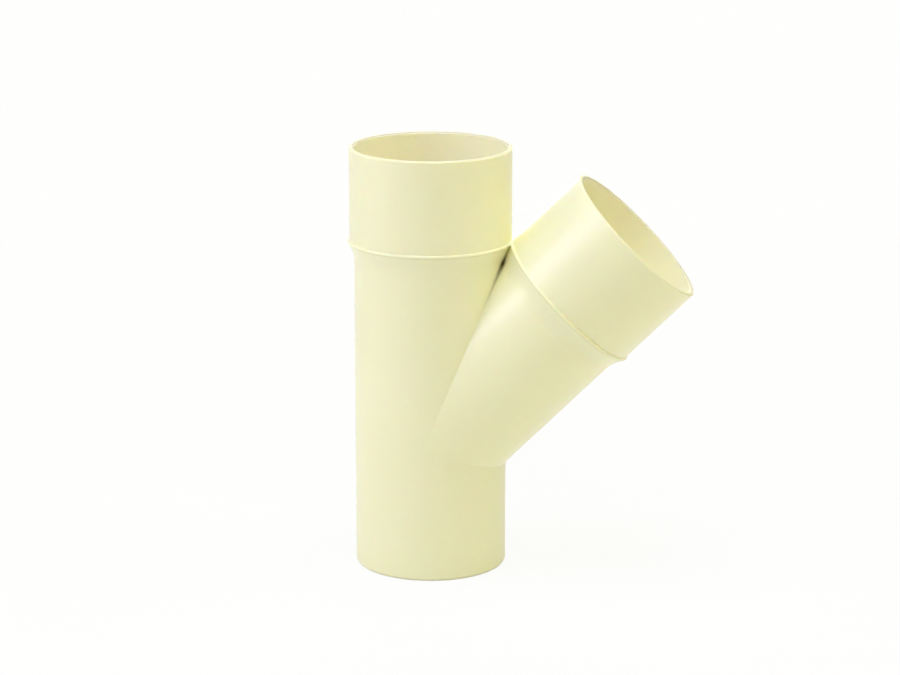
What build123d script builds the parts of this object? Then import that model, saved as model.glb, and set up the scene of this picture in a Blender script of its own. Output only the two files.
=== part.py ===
from build123d import *
from math import cos, radians, sin, tan
import os

os.makedirs("parts", exist_ok=True)

# Lateral wye fitting for a solvent-welded 110 mm drain line, moulded as one piece.
# The run stands along +Z with its spigot's end face at the origin.
# The branch leaves the run at 45 degrees and leans towards +X.
# The run and the branch have the same bore and end in the same socket, so above the
# point where their axes cross each one mirrors the other.

# Driving dimensions, in millimetres and degrees
pipe_radius = 55.0
pipe_wall = 3.2
branch_angle = 45.0
spigot_length = 76.2
laying_length = 144.0

# The body stands a hair proud of the pipe size that the spigot's seat is held to
seat_length = 68.0
swell_length = 5.0
body_swell = 0.15

socket_depth = 66.5
socket_clearance = 0.2
socket_wall = 3.5
lead_in = 1.2
mouth_bevel = 0.9
stop_bevel = 0.8

bead_drop = 0.6
bead_stand_out = 1.2
bead_crest = 0.65
bead_underside = 0.35

shoulder_stand_out = 0.7
shoulder_slope = 22.5
shoulder_blend_radius = 20.0

bevel_height = 1.5
bevel_depth = 0.8

crotch_lip_radius = 2.0
heel_radius = 1.5

# Dimensions that follow from them
body_radius = pipe_radius + body_swell
bore_radius = pipe_radius - pipe_wall
socket_bore_radius = pipe_radius + socket_clearance
socket_radius = socket_bore_radius + socket_wall
bead_radius = socket_radius + bead_stand_out
shoulder_radius = socket_radius + shoulder_stand_out

crossing_height = spigot_length + body_radius * tan(radians(branch_angle / 2))
stop_height = crossing_height + laying_length
mouth_height = stop_height + socket_depth

# Heights of the bead and of the shoulder below it, from the top down
bead_top = stop_height - bead_drop
bead_round_foot = bead_top - bead_stand_out
bead_crest_foot = bead_round_foot - bead_crest
bead_foot = bead_crest_foot - bead_underside
slope_foot = bead_foot - (shoulder_radius - body_radius) / tan(radians(shoulder_slope))

# The two planes on which the branch meets the run pass through the crossing of the axes.
# The crotch plane halves the angle between run and branch, and the heel plane is square to
# it. Between them they hold the quarter of space that belongs to the branch.
half_angle = radians(branch_angle / 2)
crossing = (0, 0, crossing_height)
crotch_plane = Plane(origin=crossing, x_dir=(0, 1, 0), z_dir=(-cos(half_angle), 0, sin(half_angle)))
heel_plane = Plane(
    origin=crossing,
    x_dir=(cos(half_angle), 0, -sin(half_angle)),
    z_dir=(sin(half_angle), 0, cos(half_angle)),
)
reach = 2 * mouth_height


# The run from end to end: its half section turned about the axis
with BuildPart() as run:
    with BuildSketch(Plane.XZ):
        with BuildLine():
            bevel = Polyline(
                (bore_radius, 0),
                (pipe_radius - bevel_depth, 0),
                (pipe_radius, bevel_height),
            )
            swell = Polyline(
                bevel @ 1,
                (pipe_radius, seat_length),
                (body_radius, seat_length + swell_length),
            )
            shoulder = FilletPolyline(
                swell @ 1,
                (body_radius, slope_foot),
                (shoulder_radius, bead_foot),
                radius=shoulder_blend_radius,
            )
            bead_side = Polyline(
                shoulder @ 1,
                (bead_radius, bead_crest_foot),
                (bead_radius, bead_round_foot),
            )
            bead_round = RadiusArc(bead_side @ 1, (socket_radius, bead_top), -bead_stand_out)
            mouth = Polyline(
                bead_round @ 1,
                (socket_radius, mouth_height - mouth_bevel),
                (socket_radius - mouth_bevel, mouth_height),
                (socket_bore_radius + lead_in, mouth_height),
            )
            inside = Polyline(
                mouth @ 1,
                (socket_bore_radius, mouth_height - lead_in),
                (socket_bore_radius, stop_height),
                (bore_radius + stop_bevel, stop_height),
                (bore_radius, stop_height - stop_bevel),
                bevel @ 0,
            )
        make_face()
    revolve(axis=Axis.Z)

# The branch is the mirror image of the run's socketed end, cut to the two meeting planes
with BuildPart() as socketed_end:
    add(run.part)
    split(bisect_by=crotch_plane, keep=Keep.TOP)
    split(bisect_by=heel_plane, keep=Keep.TOP)

with BuildPart() as branch:
    mirror(socketed_end.part, about=crotch_plane)

# The whole fitting: the run without the branch's quarter of space, and the branch in its
# place. The lip of wall between the two bores is rounded over, and so is the corner where
# the branch leaves the spigot.
with BuildPart() as wye_fitting:
    add(run.part)
    with BuildSketch(heel_plane):
        Rectangle(reach, reach, align=(Align.MIN, Align.CENTER))
    extrude(amount=reach, mode=Mode.SUBTRACT)
    add(branch.part)
    crotch_lip = wye_fitting.edges().filter_by(crotch_plane).group_by(SortBy.LENGTH)[-1]
    fillet(crotch_lip, crotch_lip_radius)
    heel = wye_fitting.edges().filter_by(heel_plane).group_by(SortBy.LENGTH)[-1]
    fillet(heel, heel_radius)

wye_fitting.part.label = "wye_fitting"
export_step(wye_fitting.part, "parts/wye_fitting.step")
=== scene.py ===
import math
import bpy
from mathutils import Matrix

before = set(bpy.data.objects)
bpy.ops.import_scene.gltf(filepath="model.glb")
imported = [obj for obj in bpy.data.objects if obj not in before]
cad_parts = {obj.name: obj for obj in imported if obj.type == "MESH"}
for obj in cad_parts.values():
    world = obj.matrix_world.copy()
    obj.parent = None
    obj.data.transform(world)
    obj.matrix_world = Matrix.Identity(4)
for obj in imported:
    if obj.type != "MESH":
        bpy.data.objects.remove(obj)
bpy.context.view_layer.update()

from types import SimpleNamespace

import bpy
from mathutils import Vector

bpy.context.scene.view_settings.view_transform = "Standard"

# Light passes between the pale walls many times before it fades
bpy.context.scene.cycles.diffuse_bounces = 14
bpy.context.scene.cycles.max_bounces = 18

# The fitting's measures, in metres, as in the part's source. Those along a pipe start where
# the axes of the two pipes cross.
HALF_ANGLE = math.radians(22.5)
SPIGOT_LENGTH = 0.0762
BODY_RADIUS = 0.05515
CROSSING = SPIGOT_LENGTH + BODY_RADIUS * math.tan(HALF_ANGLE)
PIPE_STOP = 0.144
BEAD_FOOT = PIPE_STOP - 0.0028
SOCKET_START = PIPE_STOP - 0.001
MOUTH = PIPE_STOP + 0.0665

# Radii halfway through the two walls, and the radius that the lead-ins stay inside
PIPE_MIDWALL = 0.0535
SOCKET_MIDWALL = 0.0570
LEAD_IN_RADIUS = 0.0566

# Colours of the plastic, and of the painted shade and painted light that lie over it
TONE_DEEP = (0.884, 0.866, 0.546, 1)
TONE_PALE = (0.908, 0.890, 0.574, 1)
INNER_WALL_PAINTED_LIGHT = (0.930, 0.903, 0.672, 1)
CREASE_SHADE = (0.13, 0.085, 0.0, 1)
CORNER_SHADE = (0.50, 0.40, 0.10, 1)
END_PAINTED_SHADE = (0.45, 0.42, 0.30, 1)
MOUTH_SHADE = (0.35, 0.29, 0.12, 1)

# How deep the crease's shade is at shares of the way from CREASE_LOW to CREASE_HIGH, which
# are distances up the plane between the pipes
CREASE_LOW = 0.100
CREASE_HIGH = 0.160
CREASE_DEPTHS = [
    (0.05, 0.0),
    (0.25, 0.10),
    (0.42, 0.24),
    (0.57, 0.42),
    (0.64, 0.95),
    (0.68, 1.0),
    (0.71, 0.4),
    (0.76, 0.08),
    (0.82, 0.0),
]

# Colours of the white surroundings: as the eye sees them, and as light falls on the floor
BACKGROUND_WHITE = (0.995, 0.995, 0.980, 1)
FLOOR_WHITE = (0.90, 0.90, 0.88, 1)

# The soft boxes stand this far from the object's middle
MIDDLE = Vector((0.05, 0.0, 0.16))
LIGHT_DISTANCE = 1.9


# Camera: the photograph's place and angle, found by fitting the fitting's outlines
camera_data = bpy.data.cameras.new("camera")
camera_data.sensor_width = 36.0
camera_data.lens = 119.53
camera = bpy.data.objects.new("camera", camera_data)
camera.location = (0.20997, -2.09363, 0.71537)
camera.rotation_euler = (1.31631, -0.00095, 0.09353)
bpy.context.scene.collection.objects.link(camera)
bpy.context.scene.camera = camera


def link(tree, a, b):
    tree.links.new(a, b)


def node(tree, kind, **settings):
    made = tree.nodes.new(kind)
    for name, value in settings.items():
        setattr(made, name, value)
    return made


def maths(tree, operation, *terms):
    made = node(tree, "ShaderNodeMath", operation=operation)
    for slot, term in enumerate(terms):
        if isinstance(term, (int, float)):
            made.inputs[slot].default_value = term
        else:
            link(tree, term, made.inputs[slot])
    return made.outputs[0]


def times(tree, product, *others):
    for other in others:
        product = maths(tree, "MULTIPLY", product, other)
    return product


def choose(tree, switch, off, on):
    """The first value where the switch is 0, and the second where it is 1."""
    return maths(tree, "MULTIPLY_ADD", maths(tree, "SUBTRACT", on, off), switch, off)


def spread(tree, value, start, end, low=0.0, high=1.0, kind="LINEAR"):
    """The low value at start and the high value at end."""
    made = node(tree, "ShaderNodeMapRange", interpolation_type=kind)
    made.inputs["From Min"].default_value = start
    made.inputs["From Max"].default_value = end
    made.inputs["To Min"].default_value = low
    made.inputs["To Max"].default_value = high
    link(tree, value, made.inputs["Value"])
    return made.outputs["Result"]


def ramp(tree, value, start, end):
    """0 at start and 1 at end, with a soft curve between them."""
    return spread(tree, value, start, end, kind="SMOOTHSTEP")


def colour_steps(tree, value, steps, interpolation="LINEAR"):
    """The colours of the steps, each at its own value."""
    made = node(tree, "ShaderNodeValToRGB")
    made.color_ramp.interpolation = interpolation
    stops = made.color_ramp.elements
    while len(stops) < len(steps):
        stops.new(1.0)
    for stop, (position, colour) in zip(stops, steps):
        stop.position = position
        stop.color = colour
    link(tree, value, made.inputs["Fac"])
    return made.outputs["Color"]


def laid_over(tree, share, under, colour):
    """The given share of a colour over the colour under it."""
    mix = node(tree, "ShaderNodeMix", data_type="RGBA")
    link(tree, share, mix.inputs["Factor"])
    link(tree, under, mix.inputs["A"])
    mix.inputs["B"].default_value = colour
    return mix.outputs["Result"]


def noise(tree, place, scale, detail):
    made = node(tree, "ShaderNodeTexNoise")
    made.inputs["Scale"].default_value = scale
    made.inputs["Detail"].default_value = detail
    link(tree, place, made.inputs["Vector"])
    return made.outputs["Fac"]


def bump(tree, height, strength, distance):
    made = node(tree, "ShaderNodeBump")
    made.inputs["Strength"].default_value = strength
    made.inputs["Distance"].default_value = distance
    link(tree, height, made.inputs["Height"])
    return made


def point_on_fitting(tree, place):
    """Where a point lies on the fitting.

    rise and off are its distances from the crossing of the axes up the plane between the
    pipes and off that plane. along and radius are taken along its own pipe's axis and away
    from it, and outside is 1 on the outer half of the wall.
    """
    split = node(tree, "ShaderNodeSeparateXYZ")
    link(tree, place, split.inputs["Vector"])
    x, y, z = split.outputs
    up = maths(tree, "SUBTRACT", z, CROSSING)
    sine = math.sin(HALF_ANGLE)
    cosine = math.cos(HALF_ANGLE)
    rise = maths(tree, "ADD", times(tree, x, sine), times(tree, up, cosine))
    side = maths(tree, "SUBTRACT", times(tree, x, cosine), times(tree, up, sine))

    on_branch_side = maths(tree, "GREATER_THAN", side, 0.0)
    above_heel = maths(tree, "GREATER_THAN", rise, 0.0)
    in_branch = times(tree, on_branch_side, above_heel)
    leaning = times(tree, maths(tree, "ADD", x, up), math.sqrt(0.5))
    across = times(tree, maths(tree, "SUBTRACT", x, up), math.sqrt(0.5))
    along = choose(tree, in_branch, up, leaning)
    sideways = choose(tree, in_branch, x, across)
    squares = maths(tree, "ADD", times(tree, sideways, sideways), times(tree, y, y))
    radius = maths(tree, "SQRT", squares)

    in_socket = maths(tree, "GREATER_THAN", along, SOCKET_START)
    midwall = maths(tree, "MULTIPLY_ADD", in_socket, SOCKET_MIDWALL - PIPE_MIDWALL, PIPE_MIDWALL)
    return SimpleNamespace(
        z=z,
        rise=rise,
        off=maths(tree, "ABSOLUTE", side),
        along=along,
        radius=radius,
        inside=maths(tree, "LESS_THAN", radius, midwall),
        outside=maths(tree, "GREATER_THAN", radius, midwall),
    )


def crease_shade(tree, point):
    """Shade where the branch meets the run: darkest just under the beads and thinning below."""
    height = spread(tree, point.rise, CREASE_LOW, CREASE_HIGH)
    greys = [(position, (depth, depth, depth, 1)) for position, depth in CREASE_DEPTHS]
    depth = colour_steps(tree, height, greys, "B_SPLINE")
    width = maths(tree, "MULTIPLY_ADD", ramp(tree, point.rise, 0.122, 0.138), 0.0009, 0.0017)
    near = ramp(tree, maths(tree, "DIVIDE", point.off, width), 1.0, 0.0)
    return times(tree, near, point.outside, depth)


def corner_shade(tree, point):
    """A hair of shade in the corner under each bead."""
    below = ramp(tree, point.along, BEAD_FOOT - 0.0011, BEAD_FOOT - 0.0002)
    above = ramp(tree, point.along, BEAD_FOOT + 0.0005, BEAD_FOOT + 0.0002)
    return times(tree, below, above, point.outside, 0.18)


# Material: satin cream uPVC with faint drifts of tone, fine mould grain and soft flow marks
def make_upvc():
    mat = bpy.data.materials.new("cream_upvc")
    mat.use_nodes = True
    tree = mat.node_tree
    shader = tree.nodes["Principled BSDF"]
    shader.inputs["IOR"].default_value = 1.54
    shader.inputs["Subsurface Weight"].default_value = 0.5
    shader.inputs["Subsurface Radius"].default_value = (1.0, 0.7, 0.35)
    shader.inputs["Subsurface Scale"].default_value = 0.003

    place = node(tree, "ShaderNodeTexCoord").outputs["Object"]
    point = point_on_fitting(tree, place)
    drift = noise(tree, place, 14.0, 3.0)
    colour = colour_steps(tree, drift, [(0.30, TONE_DEEP), (0.70, TONE_PALE)])
    # The inner walls are painted paler: painted light for the light that reaches into the bores
    colour = laid_over(tree, point.inside, colour, INNER_WALL_PAINTED_LIGHT)

    # The crease is dull as well as dark
    crease = crease_shade(tree, point)
    colour = laid_over(tree, crease, colour, CREASE_SHADE)
    specular = maths(tree, "MULTIPLY_ADD", crease, -0.55, 0.55)
    link(tree, specular, shader.inputs["Specular IOR Level"])

    colour = laid_over(tree, corner_shade(tree, point), colour, CORNER_SHADE)

    # The bevelled end of the spigot is painted a little darker: painted shade on the bevel that
    # faces down to the floor
    end = times(tree, ramp(tree, point.z, 0.0022, 0.0008), 0.3)
    colour = laid_over(tree, end, colour, END_PAINTED_SHADE)

    # The faces of the two mouths are painted darker than the walls, painted shade that holds down
    # the light on them, and matt, and the lead-ins inside them get deeper painted shade again
    face = ramp(tree, point.along, MOUTH - 0.0011, MOUTH - 0.0003)
    in_lead = maths(tree, "LESS_THAN", point.radius, LEAD_IN_RADIUS)
    lead = times(tree, ramp(tree, point.along, MOUTH - 0.0018, MOUTH - 0.0011), in_lead)
    mouth = times(tree, maths(tree, "ADD", face, lead), 0.26)
    colour = laid_over(tree, mouth, colour, MOUTH_SHADE)
    link(tree, colour, shader.inputs["Base Color"])

    smear = spread(tree, noise(tree, place, 90.0, 4.0), 0.0, 1.0, 0.28, 0.34)
    roughness = maths(tree, "MULTIPLY_ADD", face, 0.35, smear)
    link(tree, roughness, shader.inputs["Roughness"])

    grain = bump(tree, noise(tree, place, 2200.0, 2.0), 0.10, 0.0001)
    flow = bump(tree, drift, 0.06, 0.001)
    link(tree, grain.outputs["Normal"], flow.inputs["Normal"])
    link(tree, flow.outputs["Normal"], shader.inputs["Normal"])
    return mat


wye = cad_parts["wye_fitting"]
wye.data.materials.clear()
wye.data.materials.append(make_upvc())


def seen_directly(tree):
    """1 for the rays that show the white surroundings, and 0 for the light that they cast."""
    rays = node(tree, "ShaderNodeLightPath").outputs
    direct = maths(tree, "MAXIMUM", rays["Is Camera Ray"], rays["Is Glossy Ray"])
    return maths(tree, "MAXIMUM", direct, rays["Is Transmission Ray"])


# Floor: white, mostly self-coloured for the camera, so that only a breath of shadow stays near
# the object and none far from it
def make_floor():
    mat = bpy.data.materials.new("floor_white")
    mat.use_nodes = True
    tree = mat.node_tree
    tree.nodes.clear()
    out = node(tree, "ShaderNodeOutputMaterial")
    matt = node(tree, "ShaderNodeBsdfDiffuse")
    matt.inputs["Color"].default_value = FLOOR_WHITE
    glow = node(tree, "ShaderNodeEmission")
    glow.inputs["Color"].default_value = BACKGROUND_WHITE
    spot = node(tree, "ShaderNodeVectorMath", operation="LENGTH")
    link(tree, node(tree, "ShaderNodeTexCoord").outputs["Object"], spot.inputs[0])
    glowing = maths(tree, "MULTIPLY_ADD", ramp(tree, spot.outputs["Value"], 0.25, 1.2), 0.08, 0.92)
    mix = node(tree, "ShaderNodeMixShader")
    link(tree, times(tree, seen_directly(tree), glowing), mix.inputs["Fac"])
    link(tree, matt.outputs[0], mix.inputs[1])
    link(tree, glow.outputs[0], mix.inputs[2])
    link(tree, mix.outputs[0], out.inputs["Surface"])
    return mat


bpy.ops.mesh.primitive_plane_add(size=14.0, location=(0.0, 0.0, -0.0002))
floor = bpy.context.object
floor.name = "floor"
floor.data.materials.append(make_floor())


# World: white where it is seen, and dark otherwise, so that only the soft boxes light the object
world = bpy.data.worlds.new("studio")
bpy.context.scene.world = world
world.use_nodes = True
tree = world.node_tree
tree.nodes.clear()
out = node(tree, "ShaderNodeOutputWorld")
dark = node(tree, "ShaderNodeBackground")
dark.inputs["Strength"].default_value = 0.0
white = node(tree, "ShaderNodeBackground")
white.inputs["Color"].default_value = BACKGROUND_WHITE
mix = node(tree, "ShaderNodeMixShader")
link(tree, seen_directly(tree), mix.inputs["Fac"])
link(tree, dark.outputs[0], mix.inputs[1])
link(tree, white.outputs[0], mix.inputs[2])
link(tree, mix.outputs[0], out.inputs["Surface"])


# Soft boxes round the object. Each is placed by its bearing from the camera's side, with
# the left below zero, and its height in degrees, and is aimed at the object's middle.
def soft_box(name, bearing, height, watts, colour=(1.0, 1.0, 1.0), size=1.1):
    a = math.radians(bearing) + camera.rotation_euler.z
    e = math.radians(height)
    away = Vector((math.cos(e) * math.sin(a), -math.cos(e) * math.cos(a), math.sin(e)))
    data = bpy.data.lights.new(name, "AREA")
    data.shape = "SQUARE"
    data.size = size
    data.energy = watts
    data.color = colour
    box = bpy.data.objects.new(name, data)
    box.location = MIDDLE + away * LIGHT_DISTANCE
    box.rotation_euler = (-away).to_track_quat("-Z", "Y").to_euler()
    bpy.context.scene.collection.objects.link(box)


soft_box("left_low", -80, 15, 11.6, (1.00, 0.97, 0.80))
soft_box("left_high", -75, 50, 3.0, (0.50, 0.70, 1.00))
soft_box("left_small", -68, 35, 4.0, (0.14, 0.17, 1.00), size=0.8)
soft_box("left_back", -110, 30, 3.0, (1.00, 0.91, 0.30))
soft_box("front_left", -56, 30, 3.5, (0.62, 0.61, 1.00), size=0.8)
soft_box("front", 0, 50, 11.8, (0.99, 1.00, 0.98))
soft_box("right_front", 45, 12, 3.4, (1.00, 0.87, 0.20))
soft_box("right_low", 75, 15, 4.0, (1.00, 0.95, 0.55))
soft_box("right_high", 100, 50, 9.2, (1.00, 0.99, 0.94))
soft_box("back", 180, 40, 4.8, (0.98, 1.00, 0.90))
soft_box("back_low", 180, 12, 7.0)
soft_box("top", 0, 88, 20.4, (0.82, 0.85, 1.00))
